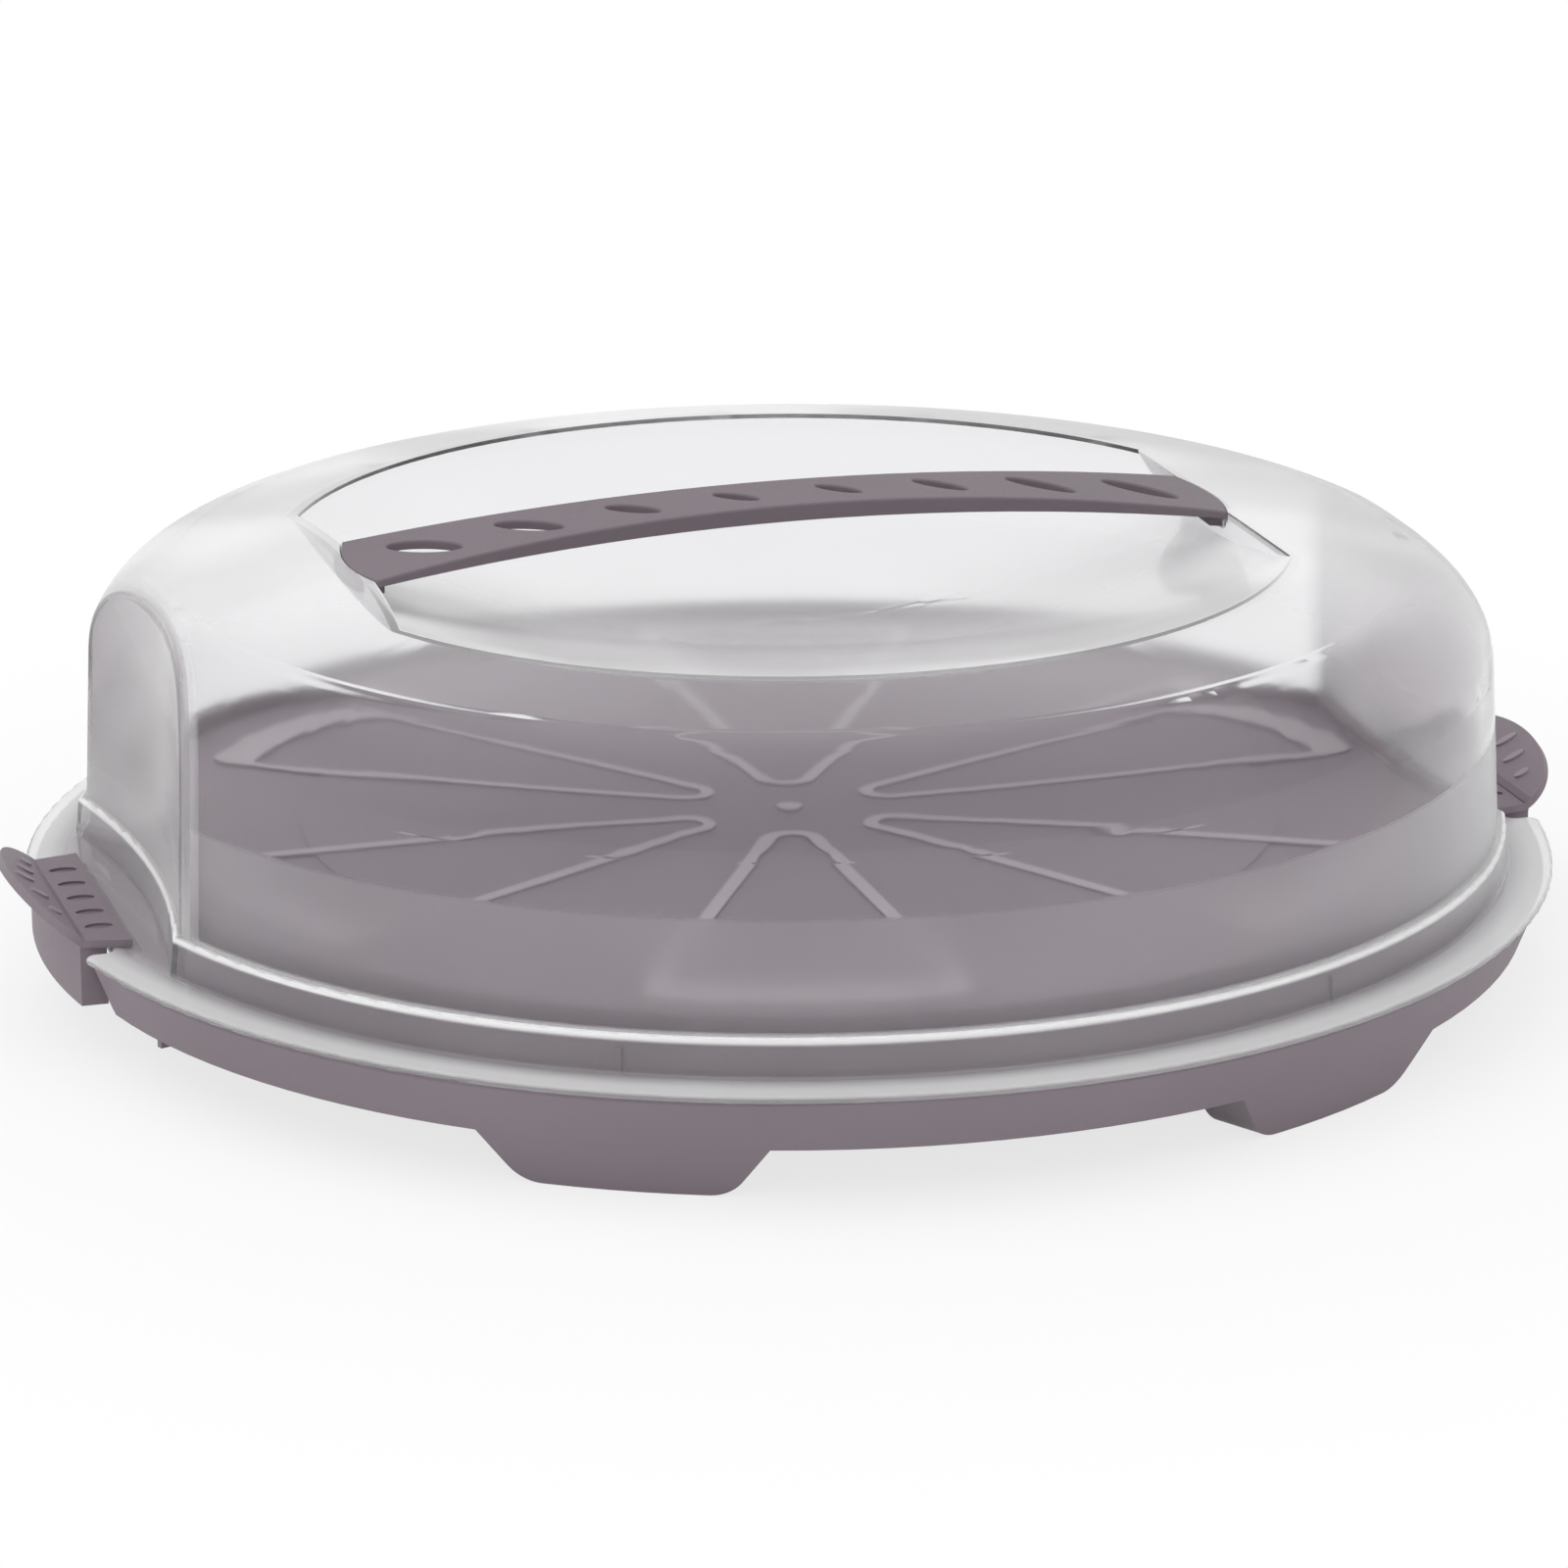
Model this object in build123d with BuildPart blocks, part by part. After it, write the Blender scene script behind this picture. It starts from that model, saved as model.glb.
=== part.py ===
from build123d import *

import os
from math import cos, radians, sin, sqrt, tan

# A round cake keeper. The origin is on the ground in the middle, under the floor; X runs along the carry handle
# from clip to clip, Z is up. All sizes are in millimetres.

# Heights of the base
foot_height = 11.7
rim_wall_height = 11.8
pedestal_height = 7.7
floor_above_shoulder = 1.8
lip_above_floor = 3.6

# Base plate, radii and walls
rim_radius = 170.3
rim_taper_angle = 21.0
base_wall = 2.2
lip_from_skirt = 9.6
lip_wall = 2.2
pedestal_taper_angle = 7.0
rim_edge_round = 0.7
lip_edge_round = 0.8
lip_corner_round = 4.0

# Dome, radii and heights above the rim of the base
dome_wall = 1.8
flange_seat_gap = 0.3
flange_thickness = 1.6
flange_overhang = 1.7
flange_edge_round = 0.7
skirt_from_rim = 8.1
skirt_height = 8.6
skirt_taper_angle = 5.5
ledge_width = 1.8
ledge_round = 1.4
recess_ledge_width = 2.2
crown_above_flange = 79.1
crown_radius = 810.0
shoulder_radius = 24.0
wall_lean = 2.8
skirt_to_pedestal_gap = 1.8

# Hollowed recess in each side of the dome, and of the base inside it
recess_radius = 270.0
recess_depth = 16.3
recess_draft_angle = 1.5
recess_edge_round = 2.0
recess_inner_round = 0.6
lip_recess_gap = 1.2

# Dished well in the dome, under the handle
well_radius = 112.5
well_depth = 27.5
well_end = 98.0
well_end_radius = 500.0
well_edge_round = 0.5

# Carry handle
handle_rise = 2.2
handle_end_width = 34.0
handle_waist_width = 22.0
handle_end_bulge = 2.8
handle_plate = 2.0
handle_waist_depth = 3.8
handle_end_depth = 1.5
handle_side_wall = 2.0
handle_edge_round = 0.5
handle_fit_gap = 0.3
slot_pitch = 23.8
slot_lengths = (11.7, 14.0, 17.6, 19.2)
slot_widths = (4.4, 5.2, 6.4, 7.4)
slot_slant_angle = -46.0
tongue_width = 26.0
tongue_reach = 4.4
tongue_thickness = 2.0
tongue_root = 2.5

# Clips
clip_length = 64.0
clip_outer_length = 59.6
clip_plate = 1.7
clip_grip = 4.4
clip_flange_gap = 0.25
clip_leg_proud = 0.5
clip_leg_wall = 2.2
clip_leg_length = 58.8
clip_leg_below_flange = 13.0
clip_end_wall = 2.4
clip_end_depth = 5.2
clip_rib = 1.6
clip_rib_spread = 19.0
flap_reach = 11.0
flap_rise = 8.3
flap_thickness = 1.8
flap_grip_pitch = 9.0
flap_grip_lengths = (6.0, 5.6, 3.8)
flap_grip_width = 2.2
flap_grip_middle = 9.0
flap_grip_step = 2.1
flap_grip_height = 0.5
flap_grip_slant = 25.0
dimple_count = 5
dimple_pitch = 10.3
dimple_length = 6.2
dimple_width = 3.6
dimple_depth = 0.5
notch_side_gap = 1.5
notch_depth = 8.7
notch_corner_round = 2.5
clip_plate_step = 3.2
clip_edge_round = 0.5

# Clip hinge, moulded on the clip and in the base
hinge_from_rim = 10.3
hinge_below_rim = 7.0
pin_radius = 1.8
pin_running_gap = 0.06
pin_length = 4.2
lug_radius = 3.3
pocket_gap = 1.1
pocket_half_length = 35.1
cheek_thickness = 2.6
cheek_inset = 0.6

# Feet
foot_angle = 28.8
foot_root_width = 62.0
foot_ground_width = 44.0
foot_depth = 14.0
foot_wall = 2.4
foot_step_back = 0.1
foot_corner_round = 9.0

# Petal pattern on the floor
petal_count = 6
petal_spread = 30.0
petal_margin = 12.4
petal_tip_round = 7.0
petal_line = 3.2
petal_arc_line = 9.6
petal_corner_round = 5.0
petal_height = 0.5
disc_radius = 110.3
disc_height = 0.3
gate_mark_radius = 3.0

# Ribs: guide ribs round the pedestal, stop ribs beside the clips, stiffening under the floor
guide_rib_angle = 29.3
guide_rib_width = 1.2
guide_rib_gap = 0.4
stop_rib_angle = 19.1
stop_rib_width = 1.6
stop_rib_length = 12.0
stop_rib_drop = 1.7
stop_rib_inset = 0.3
floor_rib_count = 12
floor_rib_width = 1.6
floor_rib_depth = 6.0
floor_rib_start = 24.0
floor_rib_end_gap = 2.4
floor_rib_angle = 15.0
floor_hub_radius = 26.0
floor_hub_wall = 1.6

# Small overlap that lets one cut or boss reach safely into its neighbour
reach = 1.0

# Levels above the ground
rim_z = foot_height + rim_wall_height
shoulder_z = rim_z + pedestal_height
floor_z = shoulder_z + floor_above_shoulder
lip_z = floor_z + lip_above_floor
flange_z = rim_z + flange_seat_gap
flange_top_z = flange_z + flange_thickness
ledge_z = flange_top_z + skirt_height
crown_z = flange_top_z + crown_above_flange
hinge_z = rim_z - hinge_below_rim

# Radii that follow
rim_bottom_radius = rim_radius - rim_wall_height * tan(radians(rim_taper_angle))
foot_ground_radius = rim_radius - rim_z * tan(radians(rim_taper_angle))
flange_radius = rim_radius + flange_overhang
notch_from_middle = rim_radius - notch_depth
hinge_from_middle = rim_radius - hinge_from_rim
clip_leg_radius = rim_radius + clip_leg_proud
clip_plate_end = clip_leg_radius - clip_plate_step
skirt_radius = rim_radius - skirt_from_rim
lip_radius = skirt_radius - lip_from_skirt
petal_radius = lip_radius - lip_wall - petal_margin
floor_rib_end = lip_radius - lip_wall - floor_rib_end_gap
wall_radius = skirt_radius - skirt_height * tan(radians(skirt_taper_angle)) - ledge_width
shoulder_corner_radius = wall_radius - wall_lean
pedestal_radius = skirt_radius - dome_wall - skirt_to_pedestal_gap
recess_centre = skirt_radius - recess_depth + recess_radius
skirt_recess = recess_radius - recess_ledge_width
pedestal_recess = skirt_recess + dome_wall + skirt_to_pedestal_gap
lip_recess = recess_radius + dome_wall + lip_recess_gap
well_top_z = crown_z + well_depth
handle_end = well_end + handle_end_bulge
arch_end = handle_end + reach


def crown_height(radius, inset=0.0):
    """Height of the dome's crowned top at a radius; inset goes that far under its surface."""
    sphere = crown_radius - inset
    return crown_z - crown_radius + sqrt(sphere**2 - radius**2)


def recess_circles(radius):
    """Cuts the two side recesses out of the plan that is being drawn, at a radius about their outside centres."""
    with Locations((recess_centre, 0), (-recess_centre, 0)):
        Circle(radius, mode=Mode.SUBTRACT)


def recess_cones(grow):
    """The two solids that hollow the dome's sides; grow widens them by a wall."""
    height = crown_z - flange_z
    low = recess_radius + grow - (ledge_z - flange_z) * tan(radians(recess_draft_angle))
    high = low + height * tan(radians(recess_draft_angle))
    standing = (Align.CENTER, Align.CENTER, Align.MIN)
    with BuildPart() as cones:
        with Locations((recess_centre, 0, flange_z), (-recess_centre, 0, flange_z)):
            Cone(low, high, height, align=standing)
    return cones.part


def dome_section(inset, bottom):
    """Half section of the dome above a level: crown, shoulder and leaning wall, inset by a wall."""
    corner_radius = shoulder_corner_radius - inset
    foot_radius = wall_radius - inset
    corner = (corner_radius, crown_height(corner_radius, inset))
    apex = (0, crown_z - inset)
    with BuildSketch(Plane.XZ) as section:
        with BuildLine():
            Polyline(apex, (0, bottom), (foot_radius, bottom), corner)
            half = corner_radius / 2
            ThreePointArc(corner, (half, crown_height(half, inset)), apex)
        make_face()
        outer = section.vertices().sort_by_distance((corner[0], corner[1], 0))[0]
        fillet(outer, radius=shoulder_radius - inset)
    return section.sketch


def well_form(grow):
    """The space of the dished well; grow widens it by the dome's wall, for the skin round it."""
    rim_height = crown_height(well_radius)
    sink = rim_height - (crown_z - well_depth)
    dish_radius = (well_radius**2 + sink**2) / (2 * sink)
    centre_height = crown_z - well_depth + dish_radius
    outer = well_radius + grow
    half = outer / 2

    def dish(radius):
        return centre_height - sqrt((dish_radius + grow) ** 2 - radius**2)

    with BuildPart() as form:
        with BuildSketch(Plane.XZ):
            with BuildLine():
                ThreePointArc((0, dish(0)), (half, dish(half)), (outer, dish(outer)))
                Polyline((outer, dish(outer)), (outer, well_top_z), (0, well_top_z), (0, dish(0)))
            make_face()
        revolve(axis=Axis.Z)
        with BuildSketch(Plane.XY.offset(dish(0) - reach)):
            Circle(outer)
            with Locations((well_end + well_end_radius, 0), (-well_end - well_end_radius, 0)):
                Circle(well_end_radius - grow, mode=Mode.SUBTRACT)
        extrude(amount=well_top_z, mode=Mode.INTERSECT)
    return form.part


def is_on_crown(edge):
    """True for an edge whose middle lies on the dome's crowned top."""
    middle = edge.position_at(1 / 2)
    return abs(middle.Z - crown_height(sqrt(middle.X**2 + middle.Y**2))) < handle_fit_gap


def handle_plan(grow):
    """Plan of the handle: waisted sides and bulging ends; grow widens it all round."""
    end = well_end
    half_end = handle_end_width / 2
    half_waist = handle_waist_width / 2
    with BuildSketch() as plan:
        with BuildLine():
            ThreePointArc((-end, half_end), (0, half_waist), (end, half_end))
            ThreePointArc((end, half_end), (end + handle_end_bulge, 0), (end, -half_end))
            ThreePointArc((end, -half_end), (0, -half_waist), (-end, -half_end))
            ThreePointArc((-end, -half_end), (-end - handle_end_bulge, 0), (-end, half_end))
        make_face()
        if grow:
            offset(amount=grow, mode=Mode.REPLACE)
    return plan.sketch


def tongue_plan(grow):
    """Plan of the two tongues: a straight root and a round end."""
    half = tongue_width / 2 + grow
    root = well_end - tongue_root
    straight = tongue_root + dome_wall
    round_reach = tongue_reach - dome_wall + grow
    with BuildSketch() as plan:
        for side in (1, -1):
            with Locations((side * (root + straight / 2), 0)):
                Rectangle(straight, 2 * half)
            with Locations((side * (root + straight), 0)):
                Ellipse(round_reach, half)
    return plan.sketch


def crown_band(low, high, radius):
    """A thin crowned disc between two depths under the dome's top."""
    half = radius / 2
    with BuildPart() as band:
        with BuildSketch(Plane.XZ):
            with BuildLine():
                top = [(r, crown_height(r, low)) for r in (0, half, radius)]
                under = [(r, crown_height(r, high)) for r in (0, half, radius)]
                ThreePointArc(*top)
                Line(top[-1], under[-1])
                ThreePointArc(under[2], under[1], under[0])
                Line(under[0], top[0])
            make_face()
        revolve(axis=Axis.Z)
    return band.part


def arch_section(end_height, middle_height):
    """Side view of everything under an arch that spans the handle, between two heights: at its ends, in its middle."""
    with BuildSketch(Plane.XZ) as section:
        with BuildLine():
            ThreePointArc((-arch_end, end_height), (0, middle_height), (arch_end, end_height))
            Polyline((arch_end, end_height), (arch_end, 0), (-arch_end, 0), (-arch_end, end_height))
        make_face()
    return section.sketch


def petal_outline():
    """One petal of the floor pattern: a wedge with a round tip, drawn as an outline that is wider along its arc."""

    def wedge(inset, arc_inset, tip_round, corner_round):
        outer = petal_radius - arc_inset
        apex = inset / sin(radians(petal_spread / 2))
        turn = radians(petal_spread)
        run = sqrt(outer**2 - inset**2)
        low = (run, inset)
        high = (run * cos(turn) + inset * sin(turn), run * sin(turn) - inset * cos(turn))
        middle = (outer * cos(turn / 2), outer * sin(turn / 2))
        tip = (apex * cos(turn / 2), apex * sin(turn / 2))
        with BuildSketch() as shape:
            with BuildLine():
                Line(tip, low)
                ThreePointArc(low, middle, high)
                Line(high, tip)
            make_face()
            corners = shape.vertices().sort_by_distance((0, 0, 0))
            fillet(corners[:1], radius=tip_round)
            corners = shape.vertices().sort_by_distance((0, 0, 0))
            fillet(corners[-2:], radius=corner_round)
        return shape.sketch

    with BuildSketch() as outline:
        add(wedge(0, 0, petal_tip_round, petal_corner_round))
        inner_round = petal_tip_round - petal_line
        add(wedge(petal_line, petal_arc_line, inner_round, petal_corner_round / 2), mode=Mode.SUBTRACT)
    return outline.sketch


def foot_block(wall):
    """One foot, out along X: a block that narrows to the ground. A wall insets it, for the foot's open hollow."""
    drop = reach if wall else 0.0
    inner = foot_ground_radius - foot_depth + wall
    top = rim_z - base_wall
    half_root = foot_root_width / 2 - wall
    half_ground = foot_ground_width / 2 - wall
    standing = (Align.CENTER, Align.CENTER, Align.MIN)
    with BuildPart() as foot:
        with BuildSketch(Plane.YZ.offset(inner)):
            with BuildLine():
                Polyline((half_ground, -drop), (half_root, foot_height), (half_root, top))
                Line((half_root, top), (-half_root, top))
                Polyline((-half_root, top), (-half_root, foot_height), (-half_ground, -drop))
                Line((-half_ground, -drop), (half_ground, -drop))
            make_face()
        extrude(amount=rim_radius - inner)
        if not wall:
            low = foot.edges().filter_by(Axis.X).group_by(Axis.Z)[0]
            fillet(low, radius=foot_corner_round)
        step = wall + foot_step_back
        low = foot_ground_radius - step - drop * tan(radians(rim_taper_angle))
        with Locations((0, 0, -drop)):
            Cone(low, rim_radius - step, rim_z + drop, align=standing, mode=Mode.INTERSECT)
    return foot.part


# Forms that the dome is cut from: its outside, the space inside it, and the seats of the handle
with BuildPart() as dome_outside:
    revolve(dome_section(0, ledge_z - ledge_width), axis=Axis.Z)
    add(recess_cones(0), mode=Mode.SUBTRACT)
    creases = dome_outside.edges().filter_by(GeomType.BSPLINE)
    fillet([edge for edge in creases if edge.center().Z > ledge_z], radius=recess_edge_round)
    add(well_form(0), mode=Mode.SUBTRACT)
    fillet([edge for edge in dome_outside.edges(Select.LAST) if is_on_crown(edge)], radius=well_edge_round)

with BuildPart() as cake_space:
    revolve(dome_section(dome_wall, flange_top_z), axis=Axis.Z)
    add(recess_cones(dome_wall), mode=Mode.SUBTRACT)
    creases = cake_space.edges().filter_by(GeomType.BSPLINE)
    fillet([edge for edge in creases if edge.center().Z > ledge_z], radius=recess_inner_round)
    add(well_form(dome_wall), mode=Mode.SUBTRACT)

with BuildPart() as skirt_space:
    with BuildSketch(Plane.XY.offset(flange_z - reach)):
        Circle(skirt_radius - dome_wall + reach * tan(radians(skirt_taper_angle)))
        recess_circles(skirt_recess + dome_wall)
    extrude(amount=reach + ledge_z - dome_wall - flange_z, taper=skirt_taper_angle)

# Flange, with a notch in each side that lets a clip's leg through
with BuildPart() as flange:
    with BuildSketch(Plane.XY.offset(flange_z)) as flange_plan:
        Circle(flange_radius)
        for side in (1, -1):
            with Locations((side * (notch_from_middle + flange_radius) / 2, 0)):
                Rectangle(flange_radius - notch_from_middle, clip_length + 2 * notch_side_gap, mode=Mode.SUBTRACT)
        fillet(flange_plan.vertices(), radius=notch_corner_round)
    extrude(amount=flange_thickness)
    flat_edges = flange.edges().group_by(Axis.Z)[0] + flange.edges().group_by(Axis.Z)[-1]
    fillet(flat_edges, radius=flange_edge_round)

tongue_top_depth = dome_wall + handle_fit_gap
tongue_under_depth = tongue_top_depth + tongue_thickness
band_radius = well_end + tongue_reach + 2 * reach

with BuildPart() as handle_seat:
    with BuildSketch():
        add(handle_plan(handle_fit_gap))
    extrude(amount=crown_z + reach)
    seat_depth = handle_plate + handle_fit_gap
    add(crown_band(-handle_rise - reach, seat_depth, band_radius), mode=Mode.INTERSECT)

with BuildPart() as tongue_slots:
    with BuildSketch():
        add(tongue_plan(handle_fit_gap))
    extrude(amount=crown_z)
    slot_under = tongue_under_depth + handle_fit_gap
    add(crown_band(dome_wall - handle_fit_gap, slot_under, well_end + dome_wall + reach), mode=Mode.INTERSECT)

# Dome
with BuildPart() as dome:
    with BuildSketch(Plane.XY.offset(flange_top_z - flange_thickness / 2)):
        Circle(skirt_radius)
        recess_circles(skirt_recess)
    extrude(amount=ledge_z - flange_top_z + flange_thickness / 2, taper=skirt_taper_angle)
    ledge_edges = dome.faces().sort_by(Axis.Z)[-1].edges()
    fillet(ledge_edges, radius=ledge_round)
    add(dome_outside.part)
    add(flange.part)
    add(skirt_space.part, mode=Mode.SUBTRACT)
    add(cake_space.part, mode=Mode.SUBTRACT)
    add(handle_seat.part, mode=Mode.SUBTRACT)
    add(tongue_slots.part, mode=Mode.SUBTRACT)
dome.part.label = "dome"

# Carry handle: an arched bar, hollow underneath, with slanted slots and a tongue at each end
handle_top_z = crown_z + handle_rise
handle_end_z = crown_height(arch_end)

with BuildPart() as tongue_roots:
    with BuildSketch():
        add(tongue_plan(0))
        add(handle_plan(0), mode=Mode.INTERSECT)
    extrude(amount=crown_z)
    add(crown_band(reach, tongue_under_depth, band_radius), mode=Mode.INTERSECT)

with BuildPart() as tongues:
    with BuildSketch():
        add(tongue_plan(0))
    extrude(amount=crown_z)
    add(crown_band(tongue_top_depth, tongue_under_depth, band_radius), mode=Mode.INTERSECT)

with BuildPart() as handle_hollow:
    extrude(arch_section(handle_end_z - handle_plate, handle_top_z - handle_plate), amount=handle_end_width, both=True)
    with BuildSketch():
        add(handle_plan(-handle_side_wall))
        Rectangle(2 * (well_end - tongue_root - reach), handle_end_width, mode=Mode.INTERSECT)
    extrude(amount=handle_top_z, mode=Mode.INTERSECT)

with BuildPart() as carry_handle:
    extrude(arch_section(handle_end_z, handle_top_z), amount=handle_end_width, both=True)
    under = arch_section(handle_end_z - handle_end_depth, handle_top_z - handle_waist_depth)
    extrude(under, amount=handle_end_width + reach, both=True, mode=Mode.SUBTRACT)
    with BuildSketch():
        add(handle_plan(0))
    extrude(amount=handle_top_z + reach, mode=Mode.INTERSECT)
    add(handle_hollow.part, mode=Mode.SUBTRACT)
    with BuildSketch():
        for place in range(len(slot_lengths)):
            for side in (1, -1):
                with Locations((side * slot_pitch * (place + 1 / 2), 0)):
                    Ellipse(slot_lengths[place] / 2, slot_widths[place] / 2, rotation=slot_slant_angle)
    extrude(amount=handle_top_z + reach, mode=Mode.SUBTRACT)
    top_face = carry_handle.faces().sort_by(SortBy.AREA)[-1]
    fillet(top_face.edges(), radius=handle_edge_round)
    add(tongue_roots.part)
    add(tongues.part)
carry_handle.part.label = "carry_handle"

# Base plate
foot_turns = [quarter + side * foot_angle for quarter in (90, 270) for side in (1, -1)]
rib_turns = [quarter + side * guide_rib_angle for quarter in (90, 270) for side in (1, -1)]
stop_turns = [half + side * stop_rib_angle for half in (0, 180) for side in (1, -1)]
wall_run = base_wall / cos(radians(rim_taper_angle))

with BuildPart() as cheeks:
    with BuildSketch(Plane.XY.offset(foot_height)):
        inner_face = pocket_half_length - cheek_thickness
        pocket_back = hinge_from_middle - lug_radius - pocket_gap
        length = rim_radius - pocket_back + base_wall
        middle = pocket_back - base_wall + length / 2
        width = cheek_thickness + reach / 2
        for side in (1, -1):
            for end in (1, -1):
                with Locations((side * middle, end * (inner_face + width / 2))):
                    Rectangle(length, width)
    extrude(amount=rim_wall_height)
    with BuildSketch(Plane.XY.offset(foot_height)):
        Circle(rim_bottom_radius - cheek_inset)
    extrude(amount=rim_wall_height, taper=-rim_taper_angle, mode=Mode.INTERSECT)

with BuildPart() as base_plate:
    with BuildSketch(Plane.XY.offset(foot_height)):
        Circle(rim_bottom_radius)
    extrude(amount=rim_wall_height, taper=-rim_taper_angle)
    rim_edge = base_plate.edges().group_by(Axis.Z)[-1]
    fillet(rim_edge, radius=rim_edge_round)
    with BuildSketch(Plane.XY.offset(rim_z - reach)):
        Circle(pedestal_radius + reach * tan(radians(pedestal_taper_angle)))
        recess_circles(pedestal_recess)
    extrude(amount=pedestal_height + reach, taper=pedestal_taper_angle)
    with BuildSketch(Plane.XY.offset(shoulder_z - reach)) as lip_outside:
        Circle(lip_radius)
        recess_circles(lip_recess)
        fillet(lip_outside.vertices(), radius=lip_corner_round)
    extrude(amount=lip_z - shoulder_z + reach)
    with BuildSketch(Plane.XY.offset(floor_z)) as lip_inside:
        Circle(lip_radius - lip_wall)
        recess_circles(lip_recess + lip_wall)
        fillet(lip_inside.vertices(), radius=lip_corner_round - lip_wall)
    extrude(amount=lip_z - floor_z, mode=Mode.SUBTRACT)
    lip_edges = base_plate.faces().sort_by(Axis.Z)[-1].edges()
    fillet(lip_edges, radius=lip_edge_round)
    # Hollow underside: below the channel, the pedestal and the floor
    with BuildSketch(Plane.XY.offset(foot_height - reach)):
        Circle(rim_bottom_radius - wall_run - reach * tan(radians(rim_taper_angle)))
    extrude(amount=rim_wall_height - base_wall + reach, taper=-rim_taper_angle, mode=Mode.SUBTRACT)
    with BuildSketch(Plane.XY.offset(rim_z - base_wall - reach)):
        Circle(pedestal_radius - base_wall)
        recess_circles(pedestal_recess + base_wall)
    extrude(amount=pedestal_height + reach, taper=pedestal_taper_angle, mode=Mode.SUBTRACT)
    with BuildSketch(Plane.XY.offset(shoulder_z - base_wall - reach)):
        Circle(lip_radius - lip_wall)
        recess_circles(lip_recess + lip_wall)
    extrude(amount=floor_z - shoulder_z + reach, mode=Mode.SUBTRACT)
    # Pocket for each clip, with the cheeks that carry its pins
    with BuildSketch(Plane.XY.offset(foot_height)):
        for side in (1, -1):
            with Locations((side * (pocket_back - base_wall + rim_radius) / 2, 0)):
                Rectangle(rim_radius - pocket_back + base_wall, 2 * pocket_half_length)
        Circle(rim_bottom_radius - wall_run, mode=Mode.INTERSECT)
    extrude(amount=rim_wall_height - base_wall / 2)
    with BuildSketch(Plane.XY.offset(foot_height - reach)):
        for side in (1, -1):
            with Locations((side * (pocket_back + rim_radius) / 2, 0)):
                Rectangle(rim_radius - pocket_back + reach, 2 * pocket_half_length)
    extrude(amount=rim_wall_height + 2 * reach, mode=Mode.SUBTRACT)
    add(cheeks.part)
    with BuildSketch(Plane.XZ.offset(-pocket_half_length - reach)):
        with Locations((hinge_from_middle, hinge_z), (-hinge_from_middle, hinge_z)):
            Circle(pin_radius + pin_running_gap)
    extrude(amount=2 * (pocket_half_length + reach), mode=Mode.SUBTRACT)
    # Feet
    with Locations(*[Location((0, 0, 0), (0, 0, turn)) for turn in foot_turns]):
        add(foot_block(0))
    with Locations(*[Location((0, 0, 0), (0, 0, turn)) for turn in foot_turns]):
        add(foot_block(foot_wall), mode=Mode.SUBTRACT)
    # Guide ribs round the pedestal, stop ribs beside the clips
    with BuildSketch(Plane.XY.offset(rim_z - reach)):
        guide_reach = skirt_radius - dome_wall - guide_rib_gap - reach
        guide_length = guide_reach - pedestal_radius + 2 * base_wall
        for turn in rib_turns:
            spot = guide_reach - guide_length / 2
            with Locations((spot * cos(radians(turn)), spot * sin(radians(turn)))):
                Rectangle(guide_length, guide_rib_width, rotation=turn)
    extrude(amount=pedestal_height)
    with BuildSketch(Plane.XY.offset(foot_height - stop_rib_drop)):
        for turn in stop_turns:
            spot = rim_bottom_radius - stop_rib_inset - stop_rib_length / 2
            with Locations((spot * cos(radians(turn)), spot * sin(radians(turn)))):
                Rectangle(stop_rib_length, stop_rib_width, rotation=turn)
    extrude(amount=stop_rib_drop + rim_wall_height - base_wall / 2)
    # Stiffening under the floor
    with BuildSketch(Plane.XY.offset(floor_z - base_wall - floor_rib_depth)):
        with PolarLocations((floor_rib_start + floor_rib_end) / 2, floor_rib_count, start_angle=floor_rib_angle):
            Rectangle(floor_rib_end - floor_rib_start, floor_rib_width)
        Circle(floor_hub_radius)
        Circle(floor_hub_radius - floor_hub_wall, mode=Mode.SUBTRACT)
    extrude(amount=floor_rib_depth + reach)
    # Raised pattern on the floor: a round field, six petal outlines and a gate mark
    with BuildSketch(Plane.XY.offset(floor_z - reach)):
        Circle(disc_radius)
    extrude(amount=disc_height + reach)
    with BuildSketch(Plane.XY.offset(floor_z - reach)):
        with PolarLocations(0, petal_count):
            add(petal_outline())
        Circle(gate_mark_radius)
    extrude(amount=disc_height + petal_height + reach)
base_plate.part.label = "base_plate"

# Clips: the right one is drawn, the left one is its mirror image
clip_under_z = flange_top_z + clip_flange_gap
clip_top_z = clip_under_z + clip_plate
clip_foot_z = flange_top_z - clip_leg_below_flange
clip_inner = notch_from_middle - clip_grip
end_wall_start = clip_leg_radius - clip_leg_wall - clip_end_depth - reach
flap_slope = sqrt(flap_reach**2 + flap_rise**2)
flap_plane = Plane(
    origin=(clip_plate_end, 0, clip_top_z + clip_edge_round),
    x_dir=(0, -1, 0),
    z_dir=(-flap_rise, 0, flap_reach),
)

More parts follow.
